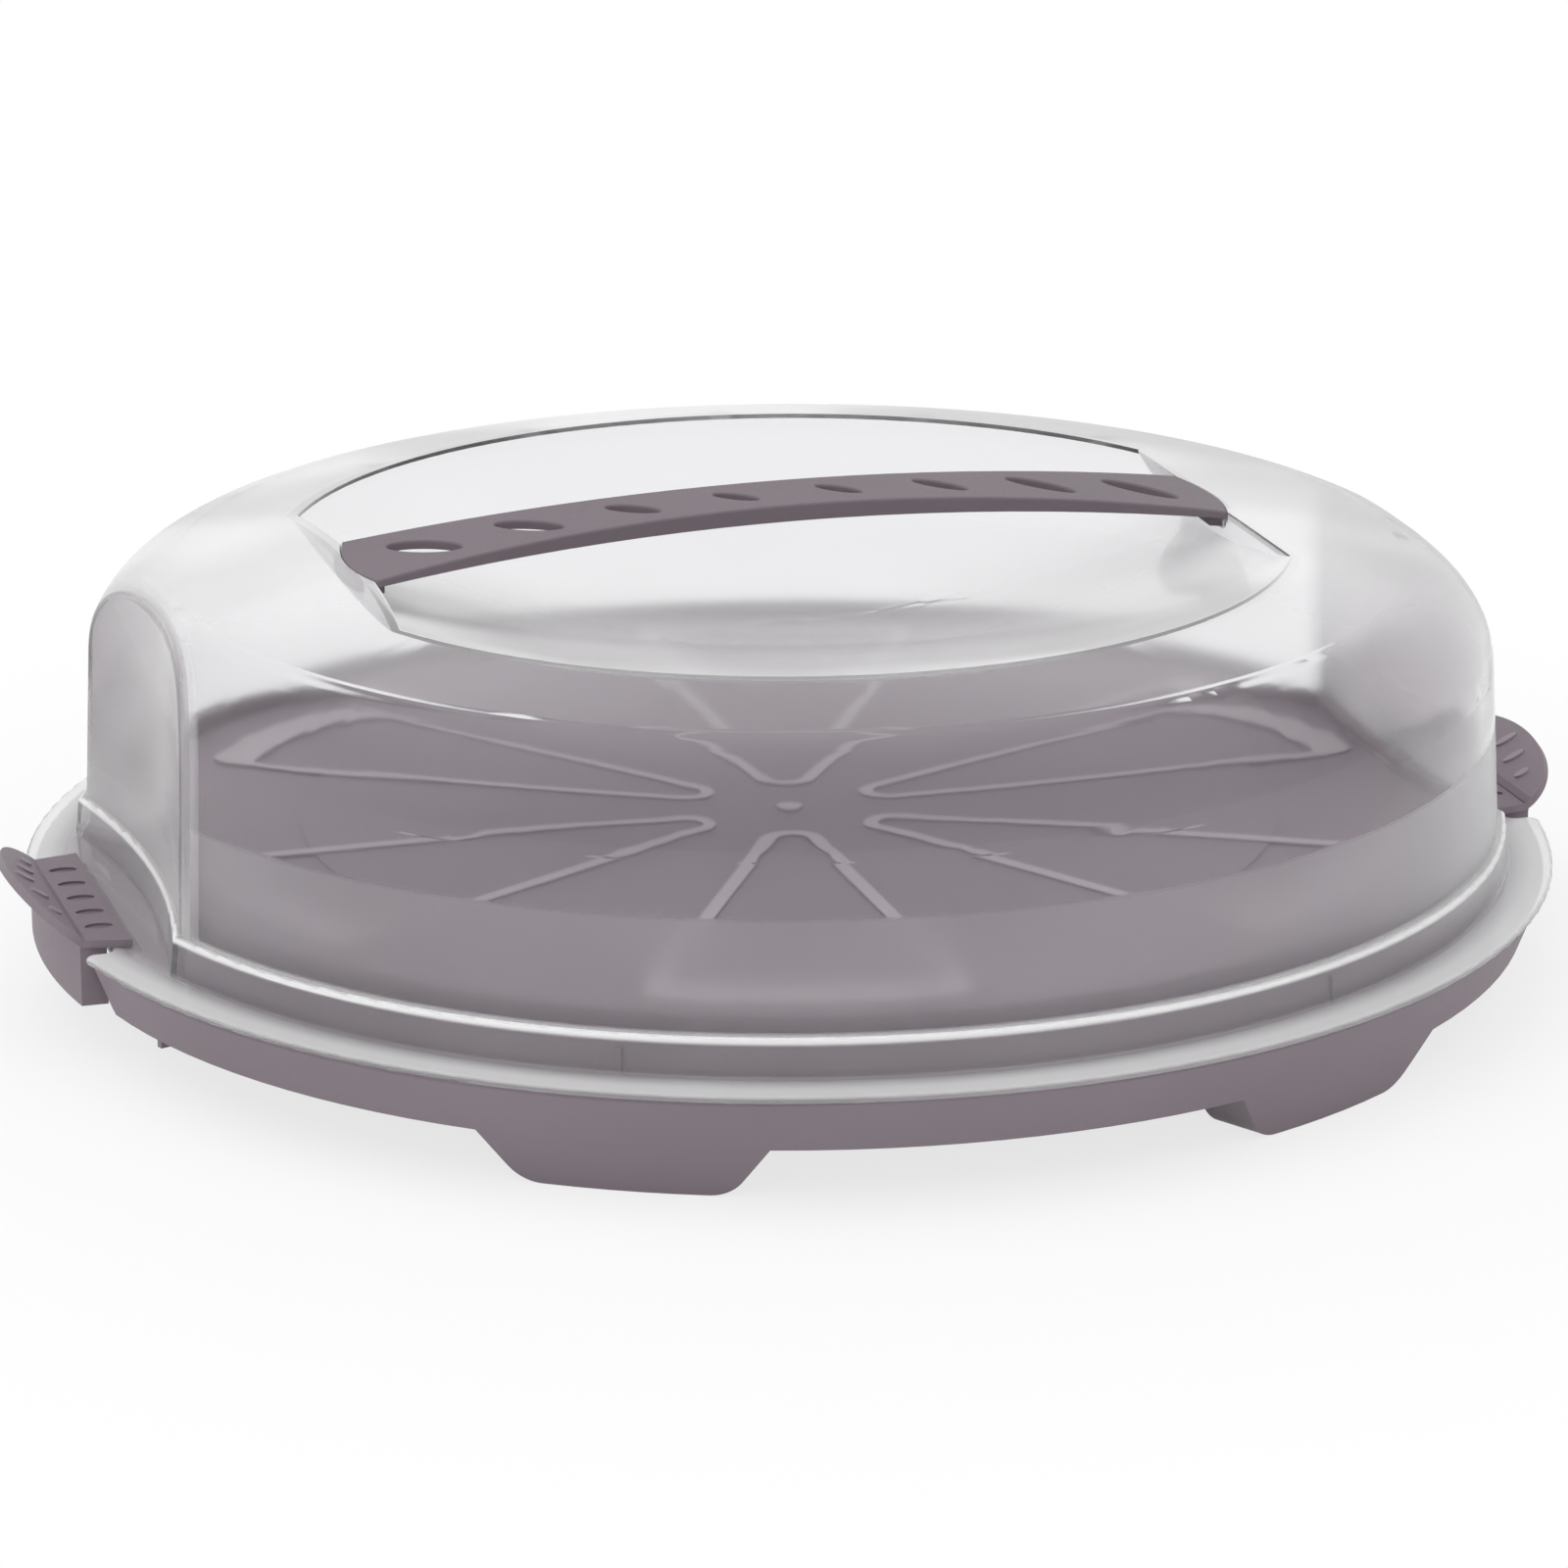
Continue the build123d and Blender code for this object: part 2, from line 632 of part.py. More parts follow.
with BuildPart() as clip_right:
    with BuildSketch(Plane.XY.offset(clip_under_z)):
        with BuildLine():
            half = clip_length / 2
            outer_half = clip_outer_length / 2
            Polyline(
                (clip_inner, half),
                (clip_plate_end, outer_half),
                (clip_leg_radius, outer_half),
                (clip_leg_radius, -outer_half),
                (clip_plate_end, -outer_half),
                (clip_inner, -half),
                close=True,
            )
        make_face()
        Circle(clip_leg_radius, mode=Mode.INTERSECT)
    extrude(amount=clip_plate)
    with BuildSketch(Plane.XY.offset(clip_foot_z)):
        Circle(clip_leg_radius)
        Circle(clip_leg_radius - clip_leg_wall, mode=Mode.SUBTRACT)
        with Locations((clip_leg_radius, 0)):
            Rectangle(clip_leg_radius, clip_leg_length, mode=Mode.INTERSECT)
    extrude(amount=clip_top_z - clip_foot_z)
    # End walls with the hinge lugs, and two ribs
    with BuildSketch(Plane.XY.offset(clip_foot_z)):
        for side in (1, -1):
            end_middle = side * (clip_leg_length - clip_end_wall) / 2
            rib_middle = side * clip_rib_spread / 2
            for centre, width in ((end_middle, clip_end_wall), (rib_middle, clip_rib)):
                with Locations(((end_wall_start + clip_leg_radius) / 2, centre)):
                    Rectangle(clip_leg_radius - end_wall_start, width)
        Circle(clip_leg_radius - clip_leg_wall / 2, mode=Mode.INTERSECT)
    extrude(amount=clip_under_z - clip_foot_z + clip_plate / 2)
    for side in (1, -1):
        lug_face = side * clip_leg_length / 2
        with BuildSketch(Plane.XZ.offset(-lug_face)):
            with Locations((hinge_from_middle, hinge_z)):
                Circle(lug_radius)
            with Locations(((hinge_from_middle + end_wall_start + reach) / 2, hinge_z)):
                Rectangle(end_wall_start + reach - hinge_from_middle, 2 * lug_radius)
        extrude(amount=side * clip_end_wall)
        with BuildSketch(Plane.XZ.offset(-lug_face)):
            with Locations((hinge_from_middle, hinge_z)):
                Circle(pin_radius)
        extrude(amount=-side * pin_length)
    # Thumb flap, with raised grips
    with BuildSketch(flap_plane):
        Ellipse(clip_outer_length / 2, flap_slope)
        with Locations((0, -flap_slope / 2 - clip_edge_round)):
            Rectangle(clip_outer_length, flap_slope, mode=Mode.SUBTRACT)
    extrude(amount=-flap_thickness)
    with BuildSketch(flap_plane):
        for place in range(len(flap_grip_lengths)):
            for side in (1, -1):
                with Locations((side * place * flap_grip_pitch, flap_grip_middle - place * flap_grip_step)):
                    Ellipse(flap_grip_lengths[place] / 2, flap_grip_width / 2, rotation=90 - flap_grip_slant)
    extrude(amount=flap_grip_height)
    # Row of shallow dimples along the plate
    with BuildSketch(Plane.XY.offset(clip_top_z - dimple_depth)):
        with Locations(((clip_inner + clip_plate_end) / 2, 0)):
            with GridLocations(0, dimple_pitch, 1, dimple_count):
                Ellipse(dimple_length / 2, dimple_width / 2)
    extrude(amount=dimple_depth + reach, mode=Mode.SUBTRACT)
clip_right.part.label = "clip_right"

with BuildPart() as clip_left:
    mirror(clip_right.part, about=Plane.YZ)
clip_left.part.label = "clip_left"

os.makedirs("parts", exist_ok=True)
export_step(base_plate.part, "parts/base_plate.step")
export_step(dome.part, "parts/dome.step")
export_step(carry_handle.part, "parts/carry_handle.step")
export_step(clip_left.part, "parts/clip_left.step")
export_step(clip_right.part, "parts/clip_right.step")
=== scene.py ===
"""Looks of a round cake keeper: a mauve footed base, two clips, a clear dome and a carry handle."""

import math

import bpy
import numpy as np
from bpy.props import FloatProperty, PointerProperty, StringProperty
from mathutils import Matrix, Vector

bl_info = {
    "name": "Cake keeper looks",
    "version": (1, 0, 0),
    "blender": (4, 5, 0),
    "location": "3D View > Sidebar > Keeper",
    "description": "Finishes the mouldings of a round cake keeper and lights them on a pale floor",
    "category": "Object",
}

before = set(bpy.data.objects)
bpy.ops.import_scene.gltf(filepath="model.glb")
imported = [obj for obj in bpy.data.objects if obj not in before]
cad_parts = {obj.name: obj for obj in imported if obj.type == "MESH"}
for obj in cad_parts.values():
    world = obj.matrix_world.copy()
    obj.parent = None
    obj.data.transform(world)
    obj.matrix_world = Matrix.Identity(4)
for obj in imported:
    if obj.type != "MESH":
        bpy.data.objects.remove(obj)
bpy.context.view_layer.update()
millimetre = 0.001

# Lengths are in metres. This one reaches past every part of the keeper, so it stands for no limit.
beyond = 1.0

# Half the width over which one finish of the dome changes into the next, and the thickness of its wall
edge_blur = 0.4 * millimetre
dome_wall = 1.8 * millimetre

# The hollow in each side of the dome is cut by a cone about an upright axis outside the dome. The cone has
# its foot radius at the height of the ledge, and grows above it with the draft.
recess_centre = 415.9 * millimetre
recess_draft = math.tan(math.radians(1.5))
recess_foot, recess_foot_radius = 34.0 * millimetre, 272.3 * millimetre
recess_ground_radius = recess_foot_radius - recess_foot * recess_draft
recess_rim_half_width = 1.8 * millimetre
recess_haze_bottom, recess_haze_top = 36.0 * millimetre, 54.0 * millimetre

# Raised lines of the cake floor: the heights between which they stand, and how far out they reach
petal_bottom, petal_top = 33.55 * millimetre, 34.2 * millimetre
petal_reach = 142.0 * millimetre

# Ledge round the foot of the dome: its corner gets a painted highlight, milky white, between the first two
# heights, and turns clear again between the other two. They reach further than the corner is round, because a
# narrow line comes out jagged. Its greatest share is over 1, because the edges' highlight share multiplies
# it.
ledge_bottom, ledge_full = 32.3 * millimetre, 33.4 * millimetre
ledge_fade, ledge_top = 33.6 * millimetre, 34.25 * millimetre
ledge_share = 1.3

# Flange of the dome: it gets a painted highlight, milky white, that grows outwards between two radii, less so
# down its round edge, where its share falls to flange_edge_share. Nothing above its ceiling belongs to it.
flange_start, flange_full = 158.5 * millimetre, 168.5 * millimetre
flange_bottom, flange_top = 24.6 * millimetre, 25.5 * millimetre
flange_ceiling = 26.1 * millimetre
flange_edge_share = 0.2

# Rim of the dished well: a circle about the middle, cut off at each end by a wide arc. It gets a painted
# highlight, milky white, between two turns of the surface away from the eye, from 0 for straight on to 1 for
# edge on.
well_radius = 112.5 * millimetre
well_end, well_end_radius = 98.0 * millimetre, 500.0 * millimetre
well_rim_bottom, well_rim_half_width = 94.6 * millimetre, 1.5 * millimetre
well_rim_start, well_rim_full = 0.6, 0.8

# Heights between which the dome's haze goes from that of its wall to that of its crown
wall_top, crown_bottom = 70.0 * millimetre, 92.0 * millimetre

# Dimples along the top of each clip: how far out they lie, half the length of their row, and the heights
# between which their floors are
dimple_start, dimple_end = 159.1 * millimetre, 165.7 * millimetre
dimple_row = 23.0 * millimetre
dimple_bottom, dimple_top = 26.7 * millimetre, 27.2 * millimetre

# Plane of each clip's thumb flap: the outward and upward parts of its unit normal, and its distance from the
# origin. The flap's face lies on the plane, its grips stand over it, and it starts above the clip's plate.
flap_out, flap_up, flap_plane = -0.6023, 0.7982, -0.07872
flap_bottom = 28.6 * millimetre
flap_face, grip_start = -0.05 * millimetre, 0.06 * millimetre

# Polypropylene bends light with an index of 1.49. The dome has less, matched to the real one, because
# 1.49 draws dark outlines along its ledge and its hollows.
polypropylene_ior, dome_ior = 1.49, 1.3

# Satin mouldings: the size of their grain and flow marks, how strongly the grain bends the surface, and how
# far the flow marks change the colour and the grain the roughness. Noise lies mostly between its two limits.
grain_width, grain_depth, grain_strength = 0.9 * millimetre, 0.02 * millimetre, 0.5
flow_width, flow_shade = 45.0 * millimetre, 0.035
gloss_spread, satin_specular = 0.05, 0.3
noise_low, noise_high = 0.3, 0.7

# The dome's wall is a little uneven: the size of its ripples, and the noise between which its haze goes from
# dull to pale. What is seen through it takes the clear tint, and what is lit through it takes the shade tint.
ripple_width, ripple_depth, ripple_strength = 55.0 * millimetre, 0.6 * millimetre, 0.25
patch_dull, patch_pale = 0.35, 0.65
clear_tint, shade_tint = "#FAFAFB", "#F7F7F8"
cloud_roughness = 0.5

# Directions in the studio, as parts of a unit vector: for gloss, the front turns into the backdrop between
# the first two along Y, and the backdrop into the ceiling between the other two upwards
front_end, backdrop_start = -0.5, 0.5
backdrop_top, ceiling_start = 0.35, 0.7

# Floor: half its width, and its height, a little under the feet so that the two surfaces don't coincide
floor_half, floor_level = 6.0, -0.2 * millimetre

# Softboxes: where each hangs, and its width and height
overhead_place, overhead_size = (-0.5, 0.5, 1.6), (1.6, 1.2)
side_place, side_size = (-1.4, -0.9, 0.9), (0.9, 0.9)

# Width of the camera's sensor, which Blender takes in millimetres
sensor_width = 36.0

# A Mix node's sockets go by number, because those for numbers and for colours have the same names
mix_share = 0
number_a, number_b, number_out = 2, 3, 0
colour_a, colour_b, colour_out = 6, 7, 2


def linear(hex_colour):
    """Turns an sRGB hex colour such as "#8C8189" into linear red, green, blue and an alpha of 1."""
    channels = np.array([int(hex_colour[i : i + 2], 16) for i in (1, 3, 5)]) / 255
    bent = np.where(channels <= 0.04045, channels / 12.92, ((channels + 0.055) / 1.055) ** 2.4)
    return (*bent.tolist(), 1.0)


def add_node(tree, kind, sockets=None, **settings):
    """Adds a node with its settings; sockets maps an input to a value, or to the output that feeds it."""
    node = tree.nodes.new(kind)
    for name, value in settings.items():
        setattr(node, name, value)
    for name, value in (sockets or {}).items():
        if isinstance(value, bpy.types.NodeSocket):
            tree.links.new(value, node.inputs[name])
        else:
            node.inputs[name].default_value = value
    return node


def new_material(name):
    """An empty node material, its tree and its output node."""
    material = bpy.data.materials.new(name)
    material.use_nodes = True
    tree = material.node_tree
    tree.nodes.clear()
    return material, tree, add_node(tree, "ShaderNodeOutputMaterial")


def between(tree, value, low, high):
    """1 where a value lies between two limits and 0 elsewhere."""
    above = add_node(tree, "ShaderNodeMath", {0: value, 1: low}, operation="GREATER_THAN")
    below = add_node(tree, "ShaderNodeMath", {0: value, 1: high}, operation="LESS_THAN")
    both = add_node(
        tree,
        "ShaderNodeMath",
        {0: above.outputs["Value"], 1: below.outputs["Value"]},
        operation="MULTIPLY",
    )
    return both.outputs["Value"]


def sideways(tree, axes):
    """How far out to its own side a point lies, because the keeper's two sides are alike."""
    side = add_node(tree, "ShaderNodeMath", {0: axes.outputs["X"]}, operation="ABSOLUTE")
    return side.outputs["Value"]


def flat_length(tree, across, along):
    """Length in plan of a line that goes so far across and so far along."""
    flat = add_node(tree, "ShaderNodeCombineXYZ", {"X": across, "Y": along})
    length = add_node(tree, "ShaderNodeVectorMath", {0: flat.outputs["Vector"]}, operation="LENGTH")
    return length.outputs["Value"]


def distance_from_axis(tree, axes):
    """Distance of a point from the keeper's upright axis."""
    return flat_length(tree, axes.outputs["X"], axes.outputs["Y"])


def distance_from_side_axis(tree, axes, centre):
    """Distance of a point from the upright axis that stands so far out on the point's own side."""
    out = add_node(tree, "ShaderNodeMath", {0: sideways(tree, axes), 1: centre}, operation="SUBTRACT")
    return flat_length(tree, out.outputs["Value"], axes.outputs["Y"])


def raised_lines(tree, axes):
    """The raised lines of the cake floor: the heights from their foot to their top, within their reach."""
    level = between(tree, axes.outputs["Z"], petal_bottom, petal_top)
    near = between(tree, distance_from_axis(tree, axes), -beyond, petal_reach)
    lines = add_node(tree, "ShaderNodeMath", {0: level, 1: near}, operation="MULTIPLY")
    return lines.outputs["Value"]


def clip_dimples(tree, axes):
    """The floors of the dimples: a level under the top of each clip, in a short row across the side."""
    level = between(tree, axes.outputs["Z"], dimple_bottom, dimple_top)
    across = between(tree, sideways(tree, axes), dimple_start, dimple_end)
    along = between(tree, axes.outputs["Y"], -dimple_row, dimple_row)
    row = add_node(tree, "ShaderNodeMath", {0: across, 1: along}, operation="MULTIPLY")
    floors = add_node(tree, "ShaderNodeMath", {0: row.outputs["Value"], 1: level}, operation="MULTIPLY")
    return floors.outputs["Value"]


def above_flap(tree, axes, start):
    """Whatever stands over the plane of a thumb flap by more than start, above the clip's plate."""
    out = add_node(
        tree,
        "ShaderNodeMath",
        {0: sideways(tree, axes), 1: flap_out, 2: -flap_plane},
        operation="MULTIPLY_ADD",
    )
    proud = add_node(
        tree,
        "ShaderNodeMath",
        {0: axes.outputs["Z"], 1: flap_up, 2: out.outputs["Value"]},
        operation="MULTIPLY_ADD",
    )
    over = between(tree, proud.outputs["Value"], start, beyond)
    high = between(tree, axes.outputs["Z"], flap_bottom, beyond)
    place = add_node(tree, "ShaderNodeMath", {0: over, 1: high}, operation="MULTIPLY")
    return place.outputs["Value"]


def flap_faces(tree, axes):
    """The inner faces of the thumb flaps, with their grips."""
    return above_flap(tree, axes, flap_face)


def flap_grips(tree, axes):
    """The raised grips alone."""
    return above_flap(tree, axes, grip_start)


def moulded_polypropylene(name, colour, roughness, details=()):
    """Opaque polypropylene, injection moulded in a finely spark-eroded tool.

    It has a satin sheen, a fine grain and faint cloudy flow marks where the melt cooled unevenly. The real
    grain is about a third of a millimetre wide, too fine to show, so it is drawn as wide as grain_width.
    Raised lines and grips get a painted highlight and thumb flaps painted light, all lighter than the mauve,
    and dimples get painted shade on their floors: details holds, for each of these, the function that finds
    it and its colour.
    """
    material, tree, output = new_material(name)
    place = add_node(tree, "ShaderNodeTexCoord").outputs["Object"]
    flow = add_node(
        tree,
        "ShaderNodeTexNoise",
        {"Vector": place, "Scale": 1 / flow_width, "Detail": 3.0, "Roughness": 0.45},
    )
    grain = add_node(
        tree,
        "ShaderNodeTexNoise",
        {"Vector": place, "Scale": 1 / grain_width, "Detail": 2.0, "Roughness": 0.6},
    )
    shade = add_node(
        tree,
        "ShaderNodeMapRange",
        {
            "Value": flow.outputs["Fac"],
            "From Min": noise_low,
            "From Max": noise_high,
            "To Min": 1 - flow_shade,
            "To Max": 1 + flow_shade,
        },
    )
    tinted = add_node(
        tree,
        "ShaderNodeVectorMath",
        {0: linear(colour)[:3], "Scale": shade.outputs["Result"]},
        operation="SCALE",
    )
    base = tinted.outputs["Vector"]
    axes = add_node(tree, "ShaderNodeSeparateXYZ", {"Vector": place})
    for find, detail_colour in details:
        mixed = add_node(
            tree,
            "ShaderNodeMix",
            {mix_share: find(tree, axes), colour_a: base, colour_b: linear(detail_colour)},
            data_type="RGBA",
        )
        base = mixed.outputs[colour_out]
    gloss = add_node(
        tree,
        "ShaderNodeMapRange",
        {
            "Value": grain.outputs["Fac"],
            "From Min": noise_low,
            "From Max": noise_high,
            "To Min": roughness - gloss_spread,
            "To Max": roughness + gloss_spread,
        },
    )
    bump = add_node(
        tree,
        "ShaderNodeBump",
        {"Strength": grain_strength, "Distance": grain_depth, "Height": grain.outputs["Fac"]},
    )
    shader = add_node(
        tree,
        "ShaderNodeBsdfPrincipled",
        {
            "Base Color": base,
            "Roughness": gloss.outputs["Result"],
            "IOR": polypropylene_ior,
            "Specular IOR Level": satin_specular,
            "Normal": bump.outputs["Normal"],
        },
    )
    tree.links.new(shader.outputs["BSDF"], output.inputs["Surface"])
    return material


def frosted_places(tree, axes, keeper):
    """Where the dome is frosted: the foot of its wall with the hollows, the hollows alone, and their rims.

    A hollow is a cone about an upright axis outside the dome. A point is in it where its distance from that
    axis is under the cone's radius at its height, and it is on the rim where the two are about the same.
    Nothing under the frosted wall counts.
    """
    band = add_node(
        tree,
        "ShaderNodeMapRange",
        {
            "Value": axes.outputs["Z"],
            "From Min": keeper.frost_top - edge_blur,
            "From Max": keeper.frost_top + edge_blur,
            "To Min": 1.0,
            "To Max": 0.0,
        },
    )
    cone = add_node(
        tree,
        "ShaderNodeMath",
        {0: axes.outputs["Z"], 1: recess_draft, 2: recess_ground_radius},
        operation="MULTIPLY_ADD",
    )
    outside = add_node(
        tree,
        "ShaderNodeMath",
        {0: distance_from_side_axis(tree, axes, recess_centre), 1: cone.outputs["Value"]},
        operation="SUBTRACT",
    )
    inside = add_node(tree, "ShaderNodeMath", {0: outside.outputs["Value"], 1: 0.0}, operation="LESS_THAN")
    either = add_node(
        tree,
        "ShaderNodeMath",
        {0: band.outputs["Result"], 1: inside.outputs["Value"]},
        operation="MAXIMUM",
    )
    rim = between(tree, outside.outputs["Value"], -recess_rim_half_width, recess_rim_half_width)
    above = between(tree, axes.outputs["Z"], keeper.frost_bottom, beyond)
    places = []
    for place in (either.outputs["Value"], inside.outputs["Value"], rim):
        kept = add_node(tree, "ShaderNodeMath", {0: place, 1: above}, operation="MULTIPLY")
        places.append(kept.outputs["Value"])
    return places


def bright_edges(tree, axes):
    """Where a painted highlight, milky white, stands for light that comes out of the plastic: the ledge's
    round corner, and the flange's rim.

    Each grows smoothly, from nothing at its first level or radius to all at its second. The ledge's share
    falls again over its flat top, and the flange's down its round edge.
    """
    top = add_node(
        tree,
        "ShaderNodeMapRange",
        {
            "Value": axes.outputs["Z"],
            "From Min": ledge_fade,
            "From Max": ledge_top,
            "To Min": ledge_share,
            "To Max": 0.0,
        },
    )
    ledge = add_node(
        tree,
        "ShaderNodeMapRange",
        {
            "Value": axes.outputs["Z"],
            "From Min": ledge_bottom,
            "From Max": ledge_full,
            "To Max": top.outputs["Result"],
        },
        interpolation_type="SMOOTHSTEP",
    )
    round_edge = add_node(
        tree,
        "ShaderNodeMapRange",
        {
            "Value": axes.outputs["Z"],
            "From Min": flange_bottom,
            "From Max": flange_top,
            "To Min": flange_edge_share,
            "To Max": between(tree, axes.outputs["Z"], 0.0, flange_ceiling),
        },
    )
    edge = add_node(
        tree,
        "ShaderNodeMapRange",
        {
            "Value": distance_from_axis(tree, axes),
            "From Min": flange_start,
            "From Max": flange_full,
            "To Max": round_edge.outputs["Result"],
        },
        interpolation_type="SMOOTHSTEP",
    )
    either = add_node(
        tree,
        "ShaderNodeMath",
        {0: ledge.outputs["Result"], 1: edge.outputs["Result"]},
        operation="MAXIMUM",
    )
    return either.outputs["Value"]


def well_rim(tree, axes, turned):
    """Where the crown turns down into the dished well: close to its circle, or to the arc at either end.

    A point is inside the well where it is inside the circle and outside both arcs, so its depth in the well
    is the smaller of the two distances, and the rim is where that depth is about that of the wall's middle.
    It gets a painted highlight, milky white, where it is seen along the crown, so its share grows with
    turned, the surface's turn away from the eye.
    """
    in_circle = add_node(
        tree,
        "ShaderNodeMath",
        {0: well_radius, 1: distance_from_axis(tree, axes)},
        operation="SUBTRACT",
    )
    in_arcs = add_node(
        tree,
        "ShaderNodeMath",
        {0: distance_from_side_axis(tree, axes, well_end + well_end_radius), 1: well_end_radius},
        operation="SUBTRACT",
    )
    depth = add_node(
        tree,
        "ShaderNodeMath",
        {0: in_circle.outputs["Value"], 1: in_arcs.outputs["Value"]},
        operation="MINIMUM",
    )
    middle = -dome_wall / 2
    near = between(
        tree, depth.outputs["Value"], middle - well_rim_half_width, middle + well_rim_half_width
    )
    milky = add_node(
        tree,
        "ShaderNodeMapRange",
        {
            "Value": turned,
            "From Min": well_rim_start,
            "From Max": well_rim_full,
            "To Max": between(tree, axes.outputs["Z"], well_rim_bottom, beyond),
        },
        interpolation_type="SMOOTHSTEP",
    )
    rim = add_node(tree, "ShaderNodeMath", {0: near, 1: milky.outputs["Result"]}, operation="MULTIPLY")
    return rim.outputs["Value"]


def clear_polypropylene(name, keeper):
    """Clarified polypropylene, injection moulded between polished tool faces.

    It is clear where the view goes straight through the wall and milky where it goes along it, because the
    plastic itself is slightly cloudy. The foot of the wall and the hollow in each side are lightly frosted,
    the skirt gets a pale painted light over its shade, the sharp edges and the rims get a painted highlight
    in milky white, and soft dull and pale patches in the haze show that the wall isn't quite even.
    """
    material, tree, output = new_material(name)
    place = add_node(tree, "ShaderNodeTexCoord").outputs["Object"]
    axes = add_node(tree, "ShaderNodeSeparateXYZ", {"Vector": place})
    facing = add_node(tree, "ShaderNodeLayerWeight", {"Blend": 0.5})
    ripple = add_node(
        tree,
        "ShaderNodeTexNoise",
        {"Vector": place, "Scale": 1 / ripple_width, "Detail": 1.0},
    )
    bump = add_node(
        tree,
        "ShaderNodeBump",
        {"Strength": ripple_strength, "Distance": ripple_depth, "Height": ripple.outputs["Fac"]},
    )
    frost, recess, recess_rim = frosted_places(tree, axes, keeper)
    edges = bright_edges(tree, axes)

    # The clear plastic, rougher where it is frosted and tinted in the hollows
    frosted = add_node(
        tree,
        "ShaderNodeMapRange",
        {"Value": frost, "To Min": keeper.clear_roughness, "To Max": keeper.frost_roughness},
    )
    rough = add_node(
        tree,
        "ShaderNodeMix",
        {mix_share: recess, number_a: frosted.outputs["Result"], number_b: keeper.recess_roughness},
    )
    tint = add_node(
        tree,
        "ShaderNodeMix",
        {mix_share: recess, colour_a: linear(clear_tint), colour_b: linear(keeper.recess_tint)},
        data_type="RGBA",
    )
    glass = add_node(
        tree,
        "ShaderNodeBsdfPrincipled",
        {
            "Base Color": tint.outputs[colour_out],
            "Roughness": rough.outputs[number_out],
            "IOR": dome_ior,
            "Transmission Weight": 1.0,
            "Normal": bump.outputs["Normal"],
        },
    )

    # The cloudy plastic, in soft dull and pale patches, turning to a painted highlight in near white at the
    # sharp edges
    patches = add_node(
        tree,
        "ShaderNodeMapRange",
        {"Value": ripple.outputs["Fac"], "From Min": patch_dull, "From Max": patch_pale},
        interpolation_type="SMOOTHSTEP",
    )
    haze_colour = add_node(
        tree,
        "ShaderNodeMix",
        {
            mix_share: patches.outputs["Result"],
            colour_a: linear(keeper.dull_haze_colour),
            colour_b: linear(keeper.haze_colour),
        },
        data_type="RGBA",
    )
    cloud_colour = add_node(
        tree,
        "ShaderNodeMix",
        {
            mix_share: edges,
            colour_a: haze_colour.outputs[colour_out],
            colour_b: linear(keeper.edge_highlight_colour),
        },
        data_type="RGBA",
    )
    cloud = add_node(
        tree,
        "ShaderNodeBsdfPrincipled",
        {
            "Base Color": cloud_colour.outputs[colour_out],
            "Roughness": cloud_roughness,
            "IOR": polypropylene_ior,
            "Specular IOR Level": 0.0,
            "Normal": bump.outputs["Normal"],
        },
    )

    # The share of cloudy plastic: it grows as the wall turns away from the eye, most of all on the crown
    most = add_node(
        tree,
        "ShaderNodeMapRange",
        {
            "Value": axes.outputs["Z"],
            "From Min": wall_top,
            "From Max": crown_bottom,
            "To Min": keeper.wall_haze,
            "To Max": keeper.crown_haze,
        },
    )
    along = add_node(
        tree,
        "ShaderNodeMapRange",
        {
            "Value": facing.outputs["Facing"],
            "From Min": keeper.haze_start,
            "From Max": keeper.haze_full,
            "To Min": keeper.clear_haze,
            "To Max": most.outputs["Result"],
        },
        interpolation_type="SMOOTHSTEP",
    )
    wall = add_node(
        tree,
        "ShaderNodeMath",
        {0: frost, 1: keeper.frost_haze, 2: along.outputs["Result"]},
        operation="MULTIPLY_ADD",
    )

    # The skirt adds a pale painted light that lifts its shade, the foot of each hollow adds to the haze, and
    # so do the painted highlights at the sharp edges and the rims
    skirt = add_node(
        tree,
        "ShaderNodeMapRange",
        {
            "Value": axes.outputs["Z"],
            "From Min": keeper.frost_bottom - edge_blur,
            "From Max": keeper.frost_bottom + edge_blur,
            "To Min": keeper.skirt_painted_light,
            "To Max": 0.0,
        },
    )
    recess_foot_haze = add_node(
        tree,
        "ShaderNodeMapRange",
        {
            "Value": axes.outputs["Z"],
            "From Min": recess_haze_bottom,
            "From Max": recess_haze_top,
            "To Min": keeper.recess_haze,
            "To Max": 0.0,
        },
        interpolation_type="SMOOTHSTEP",
    )
    low = add_node(
        tree,
        "ShaderNodeMath",
        {0: recess, 1: recess_foot_haze.outputs["Result"], 2: skirt.outputs["Result"]},
        operation="MULTIPLY_ADD",
    )
    surfaces = add_node(
        tree,
        "ShaderNodeMath",
        {0: wall.outputs["Value"], 1: low.outputs["Value"]},
        operation="ADD",
        use_clamp=True,
    )
    # Painted highlight lines along the rims of the hollows and of the well
    rims = add_node(
        tree,
        "ShaderNodeMath",
        {0: recess_rim, 1: keeper.recess_rim_highlight_share, 2: well_rim(tree, axes, facing.outputs["Facing"])},
        operation="MULTIPLY_ADD",
    )
    # Painted highlight: the sharp edges and the rims take the milky white of the edges on top of the haze
    sharp = add_node(tree, "ShaderNodeMath", {0: edges, 1: rims.outputs["Value"]}, operation="MAXIMUM")
    haze = add_node(
        tree,
        "ShaderNodeMath",
        {0: sharp.outputs["Value"], 1: keeper.edge_highlight_share, 2: surfaces.outputs["Value"]},
        operation="MULTIPLY_ADD",
        use_clamp=True,
    )
    moulding = add_node(
        tree,
        "ShaderNodeMixShader",
        {0: haze.outputs["Value"], 1: glass.outputs["BSDF"], 2: cloud.outputs["BSDF"]},
    )

